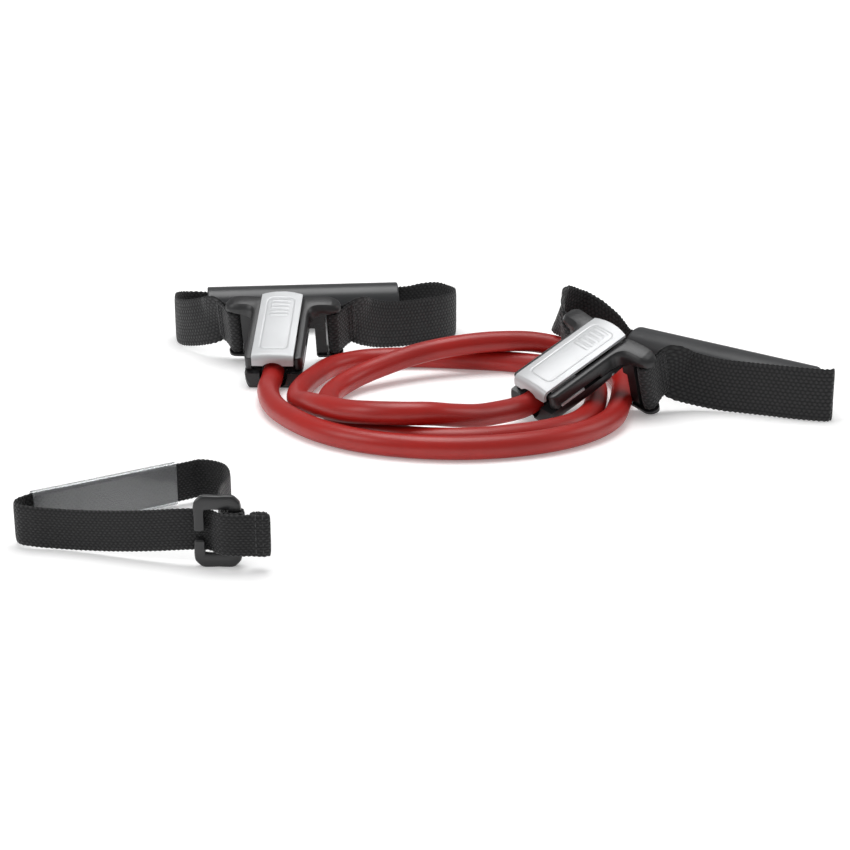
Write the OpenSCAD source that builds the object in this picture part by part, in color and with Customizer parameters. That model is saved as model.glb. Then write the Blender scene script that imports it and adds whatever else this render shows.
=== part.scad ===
// Resistance-tube exercise set: one rubber tube with a quick-change connector on each end,
// a webbing hand loop with a turning grip on each connector, and a separate anchor strap.
// Everything lies on the plane z = 0, as the set lies when it is put down.

/* [Tube] */
// Outside diameter of the rubber tube
tube_d = 12.5; // [11.5:0.1:12.7]

/* [Connector] */
// Length of the lock plate, from nose lip to rear edge
plate_l = 59; // [58:0.5:60]
// Width of the lock plate
plate_w = 24.4; // [24:0.1:24.8]
// Thickness of the lock plate
plate_t = 2.6; // [2.2:0.1:2.8]
// Width of the connector body across the nose
body_w = 34; // [33.5:0.1:34.5]
// Height of the connector at the nose
nose_h = 20; // [19.8:0.1:20.2]
// Depth of the upper cover below the plate's top edge
cover_h = 9; // [8.8:0.1:9.2]
// Depth of the lower ears below the plate's top edge
ear_drop = 39.5; // [39.5:0.1:39.8]
// Distance from the middle of the connector to each strap bar
bar_off = 30.5; // [30:0.1:31]
// Diameter of each strap bar
bar_d = 4.4; // [4:0.1:4.6]
// Nose-down lean of both connectors where they lie
pitch = 24.5; // [24.5:0.5:24.5]
// Rearward travel of the lock plate
lock_travel = 12; // [10:0.5:12]

/* [Webbing] */
// Width of the hand-loop webbing
strap_w = 30; // [29:0.5:30]
// Thickness of the hand-loop webbing
strap_t = 1.5; // [1.2:0.1:1.6]
// Width of the anchor webbing
anchor_w = 19; // [18.5:0.5:19]
// Thickness of the anchor webbing
anchor_t = 1.5; // [1.2:0.1:1.6]

/* [Grip] */
// Length of each grip tube
grip_l = 126; // [122:1:126]
// Outside diameter of each grip tube
grip_d = 26.5; // [26:0.5:27]
// Bore of each grip tube
grip_bore = 23; // [22.8:0.1:23.2]

/* [Anchor] */
// Height of the flat hook buckle
buckle_h = 32; // [31.5:0.5:32]
// Width of the flat hook buckle
buckle_w = 20; // [19.5:0.5:20]
// Thickness of the flat hook buckle
buckle_t = 3; // [2.6:0.1:3.2]
// Length of the clear sleeve on the anchor strap
sleeve_l = 71; // [69:1:71]

/* [Hidden] */
$fn = 48;

// Point on the floor that becomes the origin
base = [21.21, 13.11, 0];
// Front top edge of each lock plate, and the way each connector lies
nose_a = [-89, 72, 18.2];
yaw_a = 87.4;
roll_a = 0;
nose_b = [58, 2, 21.2];
yaw_b = 33.2;
roll_b = 13.5;
// Middle and heading of each grip
grip_mid_a = [-81, 219, 17];
grip_yaw_a = 7;
grip_mid_b = [171.6, 65.6, 14.5];
grip_yaw_b = -47;
// Height of the tube's axis below the plate's top edge
axis_z = -9.8;
plug_r = 8;
collar_r = 6.85;
socket_r = plug_r + 0.4;
arm_x = 54;
arm_tip = 35.4;
// Height of the arms, thickness of the lower ears, and middle of the webbing between them
arm_t = 6.3;
ear_t = 2.8;
strap_mid_z = -21.5;
// Buckle's middle
buckle_mid = [-88.5, -207, buckle_h / 2];
leg_l = 4.5;
leg_r = 5;
window_h = anchor_w + 0.8;
// Sleeve's middle and heading
sleeve_mid = [-146.5, -151.3, 11.3];
sleeve_yaw = 35.6;
sleeve_h = 21.2;

// ---- turning a point with a connector ----
function turn_x(a, v) = [v.x, v.y * cos(a) - v.z * sin(a), v.y * sin(a) + v.z * cos(a)];
function turn_y(a, v) = [v.x * cos(a) + v.z * sin(a), v.y, -v.x * sin(a) + v.z * cos(a)];
function turn_z(a, v) = [v.x * cos(a) - v.y * sin(a), v.x * sin(a) + v.y * cos(a), v.z];
function leaned(roll, yaw, v) = turn_z(yaw, turn_y(-pitch, turn_x(roll, v)));
function unit(v) = v / norm(v);

module placed() translate(-base) children();
module at_a() placed() translate(nose_a) rotate([roll_a, -pitch, yaw_a]) children();
module at_b() placed() translate(nose_b) rotate([roll_b, -pitch, yaw_b]) children();

// ---- curves and swept solids ----
// One span of a smooth curve through p1 and p2, with t from 0 to 1
function span(p0, p1, p2, p3, t) =
    0.5 * (2 * p1 + (p2 - p0) * t + (2 * p0 - 5 * p1 + 4 * p2 - p3) * t * t
           + (3 * p1 - p0 - 3 * p2 + p3) * t * t * t);
// A smooth curve through all points of p, with n steps to a span
function smooth(p, n) = let (m = len(p) - 1)
    [for (i = [0:m - 1], k = [0:n - 1])
        span(p[max(i - 1, 0)], p[i], p[i + 1], p[min(i + 2, m)], k / n), p[m]];
function way(p, i) = unit(p[min(i + 1, len(p) - 1)] - p[max(i - 1, 0)]);

// A closed solid through rings of equal size
module skin(rings) {
    n = len(rings);
    k = len(rings[0]);
    polyhedron(
        points = [for (r = rings) each r],
        faces = [
            [for (i = [0:k - 1]) i],
            for (j = [0:n - 2], i = [0:k - 1]) each [
                [j * k + i, (j + 1) * k + i, (j + 1) * k + (i + 1) % k],
                [j * k + i, (j + 1) * k + (i + 1) % k, j * k + (i + 1) % k]],
            [for (i = [k - 1:-1:0]) (n - 1) * k + i]],
        convexity = 12);
}

// A round cord along points p
module cord(p, d, sides) {
    skin([for (i = [0:len(p) - 1])
        let (t = way(p, i), s = unit(cross([0, 0, 1], t)), u = cross(t, s))
        [for (k = [0:sides - 1]) p[i] + d / 2 * (cos(360 * k / sides) * s + sin(360 * k / sides) * u)]]);
}

// A band of webbing: each row of q is a point, the way its width runs, and its width
module band(q, t) {
    pts = [for (r = q) [r[0], r[1], r[2]]];
    skin([for (i = [0:len(q) - 1])
        let (g = way(pts, i), w0 = [q[i][3], q[i][4], q[i][5]],
             w = unit(w0 - (w0 * g) * g) * q[i][6] / 2, s = unit(cross(g, w)) * t / 2)
        [pts[i] + w + s, pts[i] - w + s, pts[i] - w - s, pts[i] + w - s]]);
}
function row(p, w, up = [0, 0, 1]) = [p.x, p.y, p.z, up.x, up.y, up.z, w];

// ---- tube route ----
function nose_point(nose, roll, yaw, x) = nose + leaned(roll, yaw, [x, 0, axis_z]);
tube_in = 5.3;
tube_route = [
    [-89.1, 74.4, 8.5], [-89.3, 70.9, 7.2], [-89.6, 67.5, 6.5], [-89.8, 64, 6.25],
    [-90, 54, 6.25], [-88.5, 38, 6.25], [-83, 15, 6.25], [-72, -8, 6.25],
    [-56, -30, 6.25], [-35, -47, 6.25], [-10, -57, 6.25], [16, -60.5, 6.25], [42, -57, 6.25],
    [66, -47, 6.25], [87, -30, 6.25], [101, -8, 6.25], [107.5, 16, 6.25], [112, 42, 6.25],
    [114, 66, 6.25], [110, 86, 7.5], [101, 101, 10.5], [86, 110, 14.5], [67, 113, 18],
    [45, 111, 19], [20, 105, 18], [-3, 96, 15.5], [-23, 83, 12], [-40, 68, 8.5],
    [-50, 52, 6.4], [-54, 34, 6.25], [-53, 14, 6.25], [-47, -5, 6.25], [-37, -21, 6.25],
    [-25, -34, 6.25], [-10, -42.5, 6.25], [8, -46, 6.25], [26, -45.5, 6.25], [45, -40, 6.25],
    [63, -32, 6.25], [79, -19, 6.25], [90.5, 3, 6.25], [96, 30, 6.25], [98, 56, 6.25],
    [93.5, 79, 6.25], [80, 97, 6.25], [57, 109, 6.25], [24, 117, 6.25], [-12, 121, 6.25],
    [-40, 115, 6.25], [-56, 100, 6.25], [-64, 80, 6.25], [-69.5, 59, 6.25], [-72, 40, 6.25],
    [-70, 22, 7.2],
    [-63.5, 4.5, 11], [-53.5, -15.5, 15], [-41, -30, 16.8], [-26, -39.5, 18.7], [-11, -42.5, 19.2],
    [2, -40, 18.4], [15, -33, 15.4], [28, -23, 12.3], [39, -12.5, 10.8], [49.6, -2.3, 10.1],
    [52.1, 0, 10.1], [54.7, 2.2, 10.5], [57.4, 4.2, 11.3]];
tube_points = concat(
    [nose_point(nose_a, roll_a, yaw_a, tube_in), nose_point(nose_a, roll_a, yaw_a, 0)],
    tube_route,
    [nose_point(nose_b, roll_b, yaw_b, 0), nose_point(nose_b, roll_b, yaw_b, tube_in)]);

module resistance_tube() {
    color("firebrick") placed() cord(tube_points, tube_d, 12);
}

// ---- tube ends ----
module along_x(x0, x1, r) translate([x0, 0, axis_z]) rotate([0, 90, 0]) cylinder(r = r, h = x1 - x0);

module tube_plug() {
    color("dimgray") {
        along_x(tube_in, tube_in + 3, plug_r);
        along_x(tube_in + 3, tube_in + 4.5, 5);
        along_x(tube_in + 4.5, tube_in + 6.5, plug_r);
    }
}
module tube_collar() {
    color("black") difference() {
        along_x(1, tube_in - 0.1, collar_r);
        along_x(-1, tube_in + 1, tube_d / 2 + 0.1);
    }
}

// ---- connector shells, drawn with the plate's front top edge at the origin ----
// Rounded bar across the connector, the shape of both arms
module arm_plan(grow = 0) {
    r = 5.5 + grow;
    for (s = [-1, 1])
        translate([arm_x + 1.5, s * (arm_tip - 5.5)]) circle(r = r);
    translate([arm_x + 1.5 - r, -arm_tip + 5.5]) square([2 * r, 2 * arm_tip - 11]);
}
module body_plan(w, l) {
    translate([3, -w / 2]) square([l - 3, w]);
    translate([0, -w / 2 + 3]) square([4, w - 6]);
    for (s = [-1, 1])
        translate([3, s * (w / 2 - 3)]) circle(r = 3);
}
// Fillet that fills the inner corner between body and arm
module corner_fill() {
    r = 6;
    for (s = [-1, 1])
        difference() {
            translate([arm_x - 4 - r, s > 0 ? body_w / 2 - 0.5 : -body_w / 2 - r]) square([r + 0.2, r + 0.5]);
            translate([arm_x - 4 - r, s * (body_w / 2 + r)]) circle(r = r);
        }
}

module upper_cover() {
    slot_w = plate_w + 0.6;
    color([0.09, 0.09, 0.1]) difference() {
        union() {
            translate([0, 0, -cover_h]) linear_extrude(cover_h) body_plan(body_w, arm_x + 5);
            translate([0, 0, -arm_t]) linear_extrude(arm_t) {
                arm_plan();
                corner_fill();
            }
        }
        // slide for the lock plate, and room for its legs and spring
        translate([-1, -slot_w / 2, -plate_t - 0.3]) cube([80, slot_w, 20]);
        translate([-1, -slot_w / 2, -cover_h - 1]) cube([29 + lock_travel, slot_w, 20]);
        translate([39, -3.3, -cover_h - 1]) cube([13, 6.6, 8]);
        // side slots for the plate's thumb tabs
        for (s = [-1, 1])
            translate([4.7, s * body_w / 2 - 6, -cover_h - 1]) cube([18 + lock_travel, 12, 3]);
        // blind holes for the strap bars and the screws
        for (s = [-1, 1]) {
            translate([arm_x, s * bar_off, -arm_t - 1]) cylinder(d = bar_d + 0.1, h = 4);
            for (x = [43, 54.5])
                translate([x, s * 14.8, -cover_h - 1]) cylinder(d = 2.5, h = 6);
        }
    }
}

module lower_housing() {
    seam_z = -cover_h - 0.1;
    low_r = 9;
    color([0.06, 0.06, 0.07]) difference() {
        union() {
            // body: chin at the nose, round lower edges, underside rising towards the rear
            intersection() {
                translate([-8, 0, 0]) rotate([90, 0, 90]) linear_extrude(arm_x + 13) hull() {
                    translate([-body_w / 2, seam_z - 2]) square([body_w, 2]);
                    for (s = [-1, 1])
                        translate([s * (body_w / 2 - low_r), low_r - nose_h]) circle(r = low_r);
                }
                rotate([90, 0, 0]) linear_extrude(body_w + 2, center = true)
                    polygon([[-2.6, seam_z], [-5.9, -15], [-5.4, -17.2], [-1.5, -19.3], [0, -nose_h],
                             [14, -nose_h], [arm_x + 5, -10.4], [arm_x + 5, seam_z]]);
                translate([0, 0, -nose_h - 1]) linear_extrude(nose_h) hull() {
                    translate([arm_x, -body_w / 2]) square([5, body_w]);
                    for (s = [-1, 1])
                        translate([-0.9, s * (body_w / 2 - 5)]) circle(r = 5);
                }
            }
            // legs beside the webbing and ears below it
            for (s = [-1, 1]) {
                translate([arm_x - 3.5, s > 0 ? 19.2 : -25.8, -ear_drop])
                    cube([9, 6.6, ear_drop - arm_t - 0.1]);
                translate([arm_x - 3.5, s > 0 ? 16 : -21, -17]) cube([9, 5, 7.9]);
                translate([arm_x, s * bar_off, -ear_drop]) cylinder(r = 5, h = ear_t);
                translate([arm_x - 5, s > 0 ? 20.2 : -bar_off, -ear_drop]) cube([10, bar_off - 20.2, ear_t]);
            }
        }
        // the ears' undersides rise towards the nose
        translate([arm_x + 5, -arm_tip - 1, -ear_drop]) rotate([0, 7, 0]) translate([-12, 0, -5])
            cube([12, 2 * arm_tip + 2, 5]);
        // mouth, throat and open-topped socket for the plug
        along_x(-9, 2, 8.2);
        along_x(1, 6, collar_r + 0.15);
        translate([-1, -collar_r - 0.15, axis_z]) cube([7, 2 * collar_r + 0.3, 20]);
        along_x(5, 18, socket_r);
        translate([5, -socket_r, axis_z]) cube([13, 2 * socket_r, 20]);
        for (s = [-1, 1]) {
            translate([arm_x, s * bar_off, -ear_drop + 1.4]) cylinder(d = bar_d + 0.1, h = 5);
            for (x = [43, 54.5])
                translate([x, s * 14.8, -30]) cylinder(d = 2.5, h = 30);
        }
        for (s = [-1, 1])
            for (x = [43, 54.5])
                translate([x, s * 14.8, -30]) cylinder(d = 4.6, h = 18.5);
    }
}

module lock_plate() {
    color([0.72, 0.73, 0.74]) difference() {
        union() {
            translate([0, -plate_w / 2, -plate_t]) cube([plate_l, plate_w, plate_t + 0.6]);
            translate([-1.5, -plate_w / 2, -plate_t - 0.6]) cube([3, plate_w, plate_t + 1.2]);
            for (s = [-1, 1]) {
                translate([5, s > 0 ? 9.4 : -12, -cover_h + 0.1]) cube([17, 2.6, cover_h - 1]);
                translate([5, s > 0 ? 11 : -body_w / 2 - 0.3, -cover_h + 0.1])
                    cube([17, body_w / 2 - 10.7, 1.7]);
            }
            translate([24, -3, -cover_h + 0.2]) cube([3, 6, cover_h - 1]);
        }
        // arch over the tube and its plug
        along_x(-2, 20, socket_r);
    }
}

// Compression spring between the plate's boss and the cover's wall
spring_x = 27.05;
spring_l = 24.9;
spring_r = 2.3;
spring_turns = 7;
spring_wire = 0.7;
module lock_spring() {
    steps = spring_turns * 12;
    color("silver") translate([spring_x + spring_wire / 2, 0, -6]) rotate([0, 90, 0])
        cord_coil([for (i = [0:steps])
            [spring_r * cos(30 * i), spring_r * sin(30 * i), (spring_l - spring_wire) * i / steps]],
            spring_wire);
}
module cord_coil(p, d) {
    skin([for (i = [0:len(p) - 1])
        let (t = way(p, i), s = unit([p[i].x, p[i].y, 0]), u = unit(cross(t, s)), r = cross(u, t))
        [for (k = [0:5]) p[i] + d / 2 * (cos(60 * k) * r + sin(60 * k) * u)]]);
}

module strap_bars() {
    color("gray")
        for (s = [-1, 1])
            translate([arm_x, s * bar_off, -ear_drop + 1.5]) cylinder(d = bar_d, h = ear_drop - 5);
}

module housing_screws() {
    color("silver")
        for (s = [-1, 1], x = [43, 54.5])
            translate([x, s * 14.8, 0]) {
                translate([0, 0, -cover_h - 2.5]) cylinder(d = 2.3, h = 7);
                translate([0, 0, -cover_h - 4.1]) cylinder(d = 4.2, h = 1.6);
            }
}

// ---- hand loops ----
fold_l = 16;
wrap_r = bar_d / 2 + strap_t / 2 + 0.35;
layer = strap_t / 2 + 0.12;
function reversed(p) = [for (i = [len(p) - 1:-1:0]) p[i]];

// Webbing folded round a bar at c: cut end, turn, start of the run. d leads away from the bar
// and n points to the side that the cut end lies on
function fold_points(c, d, n, l, r, gap) = concat(
    [c + l * d + gap * n, c + 10 * d + gap * n, c + 6.5 * d + (gap + 0.7) * n],
    [for (a = [-20:22:200]) c + r * (cos(a) * n - sin(a) * d)],
    [c + 6.5 * d - (gap + 0.7) * n, c + 10 * d - gap * n, c + l * d - gap * n]);
function bar_fold(nose, roll, yaw, side, out) = let (
    c = [arm_x, side * bar_off, strap_mid_z],
    d = [cos(out), side * sin(out), 0],
    n = [-sin(out), side * cos(out), 0],
    up = leaned(roll, yaw, [0, 0, 1]))
    [for (p = fold_points(c, d, n, fold_l, wrap_r, layer))
        row(nose + leaned(roll, yaw, p), strap_w, up)];
// Webbing gathered inside a grip
gather_w = 21;
function in_grip(mid, yaw) = [for (x = [-grip_l / 2, 0, grip_l / 2])
    row(mid + x * [cos(yaw), sin(yaw), 0], gather_w)];

out_a_left = 43;
out_a_right = 45;
run_a = concat(
    [row([-137, 152, 22], strap_w), row([-148.5, 163, 18], strap_w), row([-156.5, 174, 15.8], strap_w),
     row([-161, 186, 15.3], strap_w), row([-161.5, 198, 15.3], strap_w), row([-157.5, 207, 16.2], 26),
     row([-151, 211, 17], 22)],
    in_grip(grip_mid_a, grip_yaw_a),
    [row([-11, 227.5, 17], 22), row([-3, 228, 16.8], 26), row([7, 226, 16], strap_w),
     row([15, 220, 15.2], strap_w), row([19.5, 211, 15.2], strap_w), row([19.5, 202, 15.2], strap_w),
     row([15, 193, 15.2], strap_w), row([7, 185, 15.2], strap_w), row([-4, 177, 15.3], strap_w),
     row([-17, 168, 16], strap_w), row([-28, 159, 18], strap_w), row([-36, 150, 21.5], strap_w)]);
out_b_left = 63;
out_b_right = -5;
corner_up = [0.25, -0.25, 0.93];
run_b = concat(
    [row([81.5, 90, 38], strap_w), row([82, 103, 38.4], strap_w), row([82, 114, 38], strap_w, corner_up),
     row([83, 122, 37], strap_w, corner_up), row([87, 128, 35], strap_w, corner_up),
     row([94, 130.5, 31.5], strap_w), row([102, 129, 27.5], strap_w), row([110, 125, 22.5], 29),
     row([116, 121.5, 18.5], 26), row([121, 118, 15.8], 22.5)],
    in_grip(grip_mid_b, grip_yaw_b),
    [row([219.3, 14.3, 14.5], 22), row([222, 10.6, 14.7], 26), row([223, 8, 15], 29),
     row([221.5, 5.8, 15.2], strap_w), row([218, 5.6, 15.2], strap_w), row([212, 7.2, 15.2], strap_w),
     row([203, 10.3, 15.2], strap_w), row([190, 16, 15.2], strap_w), row([178, 21, 15.2], strap_w),
     row([166, 25, 15.6], strap_w), row([155, 27.8, 17.2], strap_w), row([145, 28.5, 19.8], strap_w)]);

// The run from one fold to the other, its first and last points shared with the folds
function loop_rows(fold_1, run, fold_2) = concat(
    [for (i = [0:len(fold_1) - 2]) fold_1[i]],
    smooth(concat([fold_1[len(fold_1) - 1]], run, [fold_2[len(fold_2) - 1]]), 2),
    reversed([for (i = [0:len(fold_2) - 2]) fold_2[i]]));

module handle_strap(nose, roll, yaw, out_left, run, out_right) {
    color([0.07, 0.07, 0.08]) placed() band(loop_rows(
        bar_fold(nose, roll, yaw, 1, out_left), run, bar_fold(nose, roll, yaw, -1, out_right)), strap_t);
}

// Rows of stitches through both layers of the fold, in connector terms
module fold_stitches(side, out) {
    stitch_l = 2 * (layer + strap_t / 2) + 0.5;
    for (x = [11.5, 14], z = [-12:3:12])
        translate([arm_x, side * bar_off, strap_mid_z + z]) rotate([0, 0, side * out])
            translate([x, -stitch_l / 2, 0]) rotate([-90, 0, 0]) cylinder(r = 0.4, h = stitch_l);
}
module strap_stitching(out_left, out_right) {
    color([0.2, 0.2, 0.21]) {
        fold_stitches(1, out_left);
        fold_stitches(-1, out_right);
    }
}

module grip_tube(mid, yaw) {
    color([0.13, 0.13, 0.14]) placed() translate(mid) rotate([0, 90, yaw]) difference() {
        cylinder(d = grip_d, h = grip_l, center = true);
        cylinder(d = grip_bore, h = grip_l + 2, center = true);
    }
}

// ---- anchor strap ----
leg_mid = buckle_mid + [buckle_w / 2 - leg_r / 2, 0, 0];
leg_wrap_r = 3.8;
leg_d = unit([-0.4, 0.917, 0]);
leg_n = [leg_d.y, -leg_d.x, 0];
anchor_layer = anchor_t / 2 + 0.12;
leg_fold = [for (p = fold_points(leg_mid, leg_d, leg_n, 14, leg_wrap_r, anchor_layer)) row(p, anchor_w)];
sleeve_way = [cos(sleeve_yaw), sin(sleeve_yaw), 0];
anchor_run = [for (p = [
    [-90, -184, 15.5], [-91.5, -172, 13.6], [-91.5, -160, 12.2], [-90.5, -148, 11.5],
    [-91.5, -137, 11.3], [-95, -129, 11.3], [-101, -124.3, 11.3],
    sleeve_mid + (sleeve_l / 2 + 13) * sleeve_way, sleeve_mid + (sleeve_l / 2 + 7) * sleeve_way,
    sleeve_mid + sleeve_l / 4 * sleeve_way, sleeve_mid - sleeve_l / 4 * sleeve_way,
    sleeve_mid - (sleeve_l / 2 + 1) * sleeve_way,
    sleeve_mid - (sleeve_l / 2 + 3.5) * sleeve_way + [0, 0, -0.3],
    [-180.3, -177, 11], [-181, -180.5, 10.8], [-178.8, -184, 10.6], [-173, -186.3, 10.4],
    [-162, -188, 10], [-148, -191.5, 10.5], [-132, -196.5, 12], [-116, -201, 14],
    [-104, -203.8, 15.6], [-97, -204.5, 16], [-93.6, -204.8, 16], [-91, -206.4, 16],
    [-88.6, -209, 16], [-86, -211.5, 16], [-82, -212.6, 16], [-74, -212.6, 16],
    [-66.8, -212.6, 16], [-65.9, -211.75, 16], [-66.8, -210.9, 16], [-73, -210.9, 16],
    [-73.9, -210.05, 16], [-73, -209.2, 16], [-67, -209.2, 16]]) row(p, anchor_w)];

module anchor_strap() {
    rows = concat([for (i = [0:len(leg_fold) - 2]) leg_fold[i]],
                  smooth(concat([leg_fold[len(leg_fold) - 1]], anchor_run), 2));
    color([0.07, 0.07, 0.08]) placed() band(rows, anchor_t);
}
module anchor_stitching() {
    color([0.2, 0.2, 0.21]) placed() {
        for (x = [-71.5, -68.5], z = [-6:3:6])
            translate([x, -208.2, 16 + z]) rotate([90, 0, 0]) cylinder(r = 0.4, h = 5.4);
        for (x = [10.8, 13], z = [-6:3:6])
            translate(leg_mid + x * leg_d + [0, 0, z] - 1.95 * leg_n) rotate([0, 90, atan2(leg_n.y, leg_n.x)])
                cylinder(r = 0.4, h = 3.9);
    }
}
module stadium(w, t) {
    square([t, w - t], center = true);
    for (s = [-1, 1])
        translate([0, s * (w - t) / 2]) circle(d = t);
}
module anchor_sleeve() {
    color([0.8, 0.82, 0.85, 0.4]) placed() translate(sleeve_mid) rotate([0, 0, sleeve_yaw - 90])
        rotate([90, 0, 0]) linear_extrude(sleeve_l, center = true) difference() {
            stadium(sleeve_h, 4.6);
            stadium(sleeve_h - 1.4, 3.2);
        }
}
module anchor_buckle() {
    bar_h = (buckle_h - window_h) / 2;
    lip = 3;
    color([0.05, 0.05, 0.06]) placed() translate(buckle_mid) rotate([90, 0, 0])
        linear_extrude(buckle_t, center = true) difference() {
            polygon([for (c = [[1, 1], [-1, 1], [-1, -1], [1, -1]],
                          e = c.x * c.y > 0 ? [[0, lip], [lip, 0]] : [[lip, 0], [0, lip]])
                [c.x * (buckle_w / 2 - e.x), c.y * (buckle_h / 2 - e.y)]]);
            translate([-buckle_w / 2 + leg_l, -buckle_h / 2 + bar_h])
                square([buckle_w - leg_l - leg_r, window_h]);
            translate([-buckle_w / 2 - 1, -3.3]) square([leg_l + 2, 3]);
        }
}

resistance_tube();
at_a() tube_plug();  // tube_plug_a
at_b() tube_plug();  // tube_plug_b
at_a() tube_collar();  // tube_collar_a
at_b() tube_collar();  // tube_collar_b
at_a() upper_cover();  // upper_cover_a
at_b() upper_cover();  // upper_cover_b
at_a() lower_housing();  // lower_housing_a
at_b() lower_housing();  // lower_housing_b
at_a() lock_plate();  // lock_plate_a
at_b() lock_plate();  // lock_plate_b
at_a() lock_spring();  // lock_spring_a
at_b() lock_spring();  // lock_spring_b
at_a() strap_bars();  // strap_bars_a
at_b() strap_bars();  // strap_bars_b
at_a() housing_screws();  // housing_screws_a
at_b() housing_screws();  // housing_screws_b
handle_strap(nose_a, roll_a, yaw_a, out_a_left, run_a, out_a_right);  // handle_strap_a
handle_strap(nose_b, roll_b, yaw_b, out_b_left, run_b, out_b_right);  // handle_strap_b
at_a() strap_stitching(out_a_left, out_a_right);  // strap_stitching_a
at_b() strap_stitching(out_b_left, out_b_right);  // strap_stitching_b
grip_tube(grip_mid_a, grip_yaw_a);  // grip_tube_a
grip_tube(grip_mid_b, grip_yaw_b);  // grip_tube_b
anchor_strap();
anchor_stitching();
anchor_sleeve();
anchor_buckle();
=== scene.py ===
# Resistance-tube exercise set: a rubber tube with a quick-change connector and a webbing hand
# loop on each end, and a separate anchor strap with a hook buckle, put down on a white floor.
import math

import bmesh
import bpy
import numpy as np
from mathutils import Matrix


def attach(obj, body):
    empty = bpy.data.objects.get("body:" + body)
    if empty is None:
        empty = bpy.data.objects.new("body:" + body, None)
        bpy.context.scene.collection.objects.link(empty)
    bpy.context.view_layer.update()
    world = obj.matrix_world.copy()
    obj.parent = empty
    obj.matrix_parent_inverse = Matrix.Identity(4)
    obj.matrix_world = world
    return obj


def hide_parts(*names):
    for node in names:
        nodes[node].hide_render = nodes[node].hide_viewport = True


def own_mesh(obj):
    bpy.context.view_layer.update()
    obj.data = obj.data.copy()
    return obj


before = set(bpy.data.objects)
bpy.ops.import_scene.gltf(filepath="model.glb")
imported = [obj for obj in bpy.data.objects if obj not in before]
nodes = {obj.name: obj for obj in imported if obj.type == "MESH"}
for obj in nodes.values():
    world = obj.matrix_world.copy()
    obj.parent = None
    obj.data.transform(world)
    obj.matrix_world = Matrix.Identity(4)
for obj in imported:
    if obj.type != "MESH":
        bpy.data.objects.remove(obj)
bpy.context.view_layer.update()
scene = bpy.context.scene

# ---- camera ----
# A long lens, a little under a metre away and a hand's height above the floor, leaning down.
lens = bpy.data.cameras.new("camera")
lens.lens = 72
lens.sensor_width = 36
camera = bpy.data.objects.new("camera", lens)
camera.location = (-0.02121, -0.90051, 0.2713)
camera.rotation_euler = (math.radians(73), 0, 0)
scene.collection.objects.link(camera)
scene.camera = camera

# ---- resistance tube ----
# One length of extruded red rubber tube, 12.5 mm thick. It leaves connector A, winds round in
# three loose turns that cross over each other, and goes into connector B.
MIDDLE = np.array([21.21, 13.11, 0])  # mm, the point of the floor that is the model's origin


def metres(floor_mm):
    """A place on the floor plan in millimetres, as metres in the model's frame."""
    return (np.asarray(floor_mm, float) - MIDDLE) / 1000


def seat(nose, roll, yaw):
    """Turns connector millimetres into metres: roll about the length, nose down, turn, then move
    to the nose. The length runs rearward along x, and z is up from the plate."""
    r, p, y = math.radians(roll), math.radians(-24.5), math.radians(yaw)
    about_x = np.array([[1, 0, 0], [0, math.cos(r), -math.sin(r)], [0, math.sin(r), math.cos(r)]])
    about_y = np.array([[math.cos(p), 0, math.sin(p)], [0, 1, 0], [-math.sin(p), 0, math.cos(p)]])
    about_z = np.array([[math.cos(y), -math.sin(y), 0], [math.sin(y), math.cos(y), 0], [0, 0, 1]])
    turn = about_z @ about_y @ about_x
    return lambda v: metres(np.asarray(v, float) @ turn.T + nose), turn


seat_a, turn_a = seat([-89, 72, 18.2], 0, 87.4)
seat_b, turn_b = seat([58, 2, 21.2], 13.5, 33.2)
seats = {"a": seat_a, "b": seat_b}
TUBE_D = 0.0125
AXIS_Z = -9.8  # mm, the tube's axis below the plate's top edge

tube_route = np.vstack([
    seat_a([[5.3, 0, AXIS_Z], [0, 0, AXIS_Z]]),
    metres([
        [-89.1, 74.4, 8.5], [-89.3, 70.9, 7.2], [-89.6, 67.5, 6.5], [-89.8, 64, 6.25],
        [-90, 54, 6.25], [-88.5, 38, 6.25], [-83, 15, 6.25], [-72, -8, 6.25],
        [-56, -30, 6.25], [-35, -47, 6.25], [-10, -57, 6.25], [16, -60.5, 6.25], [42, -57, 6.25],
        [66, -47, 6.25], [87, -30, 6.25], [101, -8, 6.25], [107.5, 16, 6.25], [112, 42, 6.25],
        [114, 66, 6.25], [110, 86, 7.5], [101, 101, 10.5], [86, 110, 14.5], [67, 113, 18],
        [45, 111, 19], [20, 105, 18], [-3, 96, 15.5], [-23, 83, 12], [-40, 68, 8.5],
        [-50, 52, 6.4], [-54, 34, 6.25], [-53, 14, 6.25], [-47, -5, 6.25], [-37, -21, 6.25],
        [-25, -34, 6.25], [-10, -42.5, 6.25], [8, -46, 6.25], [26, -45.5, 6.25], [45, -40, 6.25],
        [63, -32, 6.25], [79, -19, 6.25], [90.5, 3, 6.25], [96, 30, 6.25], [98, 56, 6.25],
        [93.5, 79, 6.25], [80, 97, 6.25], [57, 109, 6.25], [24, 117, 6.25], [-12, 121, 6.25],
        [-40, 115, 6.25], [-56, 100, 6.25], [-64, 80, 6.25], [-69.5, 59, 6.25], [-72, 40, 6.25],
        [-70, 22, 7.2], [-63.5, 4.5, 11], [-53.5, -15.5, 15], [-41, -30, 16.8],
        [-26, -39.5, 18.7], [-11, -42.5, 19.2], [2, -40, 18.4], [15, -33, 15.4],
        [28, -23, 12.3], [39, -12.5, 10.8], [49.6, -2.3, 10.1], [52.1, 0, 10.1],
        [54.7, 2.2, 10.5], [57.4, 4.2, 11.3]]),
    seat_b([[0, 0, AXIS_Z], [5.3, 0, AXIS_Z]])])


def unit(v):
    """Vectors along the last axis, each made one long."""
    return v / np.linalg.norm(v, axis=-1, keepdims=True)


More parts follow.
